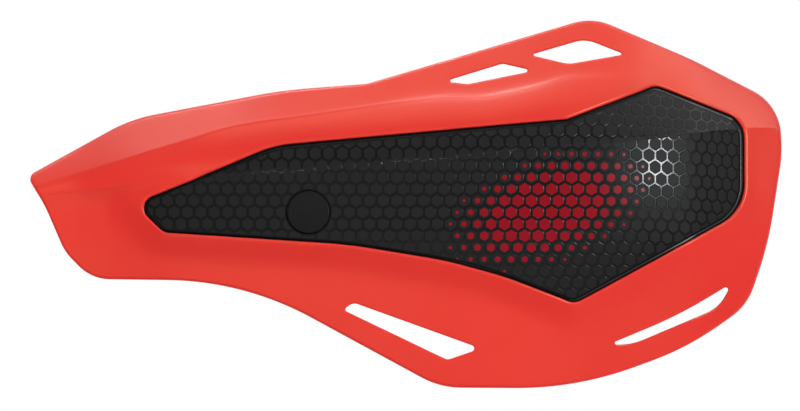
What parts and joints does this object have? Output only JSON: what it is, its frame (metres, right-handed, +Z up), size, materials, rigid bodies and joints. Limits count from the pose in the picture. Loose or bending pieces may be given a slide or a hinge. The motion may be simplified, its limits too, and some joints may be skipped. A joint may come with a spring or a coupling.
{
  "type": "motorcycle hand guard",
  "caption": "Curved plastic shield that bolts to a handlebar arm in front of the left grip, with air vents and a recessed honeycomb panel.",
  "frame": {"origin": "on the fixing bolt's axis, in the flat seat of the boss that the mounting arm is clamped to", "axes": "+X outboard along the guard, +Y rearward along the bolt towards the rider, +Z up; the front faces -Y"},
  "size_m": [0.2395, 0.055, 0.117],
  "materials": {
    "shell": "satin",
    "panel": "matte cells with glossy lines between them",
    "cap": "satin",
    "bolt": "zinc plated",
    "sleeve": "turned"
  },
  "bodies": {
    "root": {"guard_shell": "shell", "graphic_panel": "panel", "bolt_cap": "cap", "mount_bolt": "bolt", "bolt_sleeve": "sleeve"}
  },
  "joints": []
}
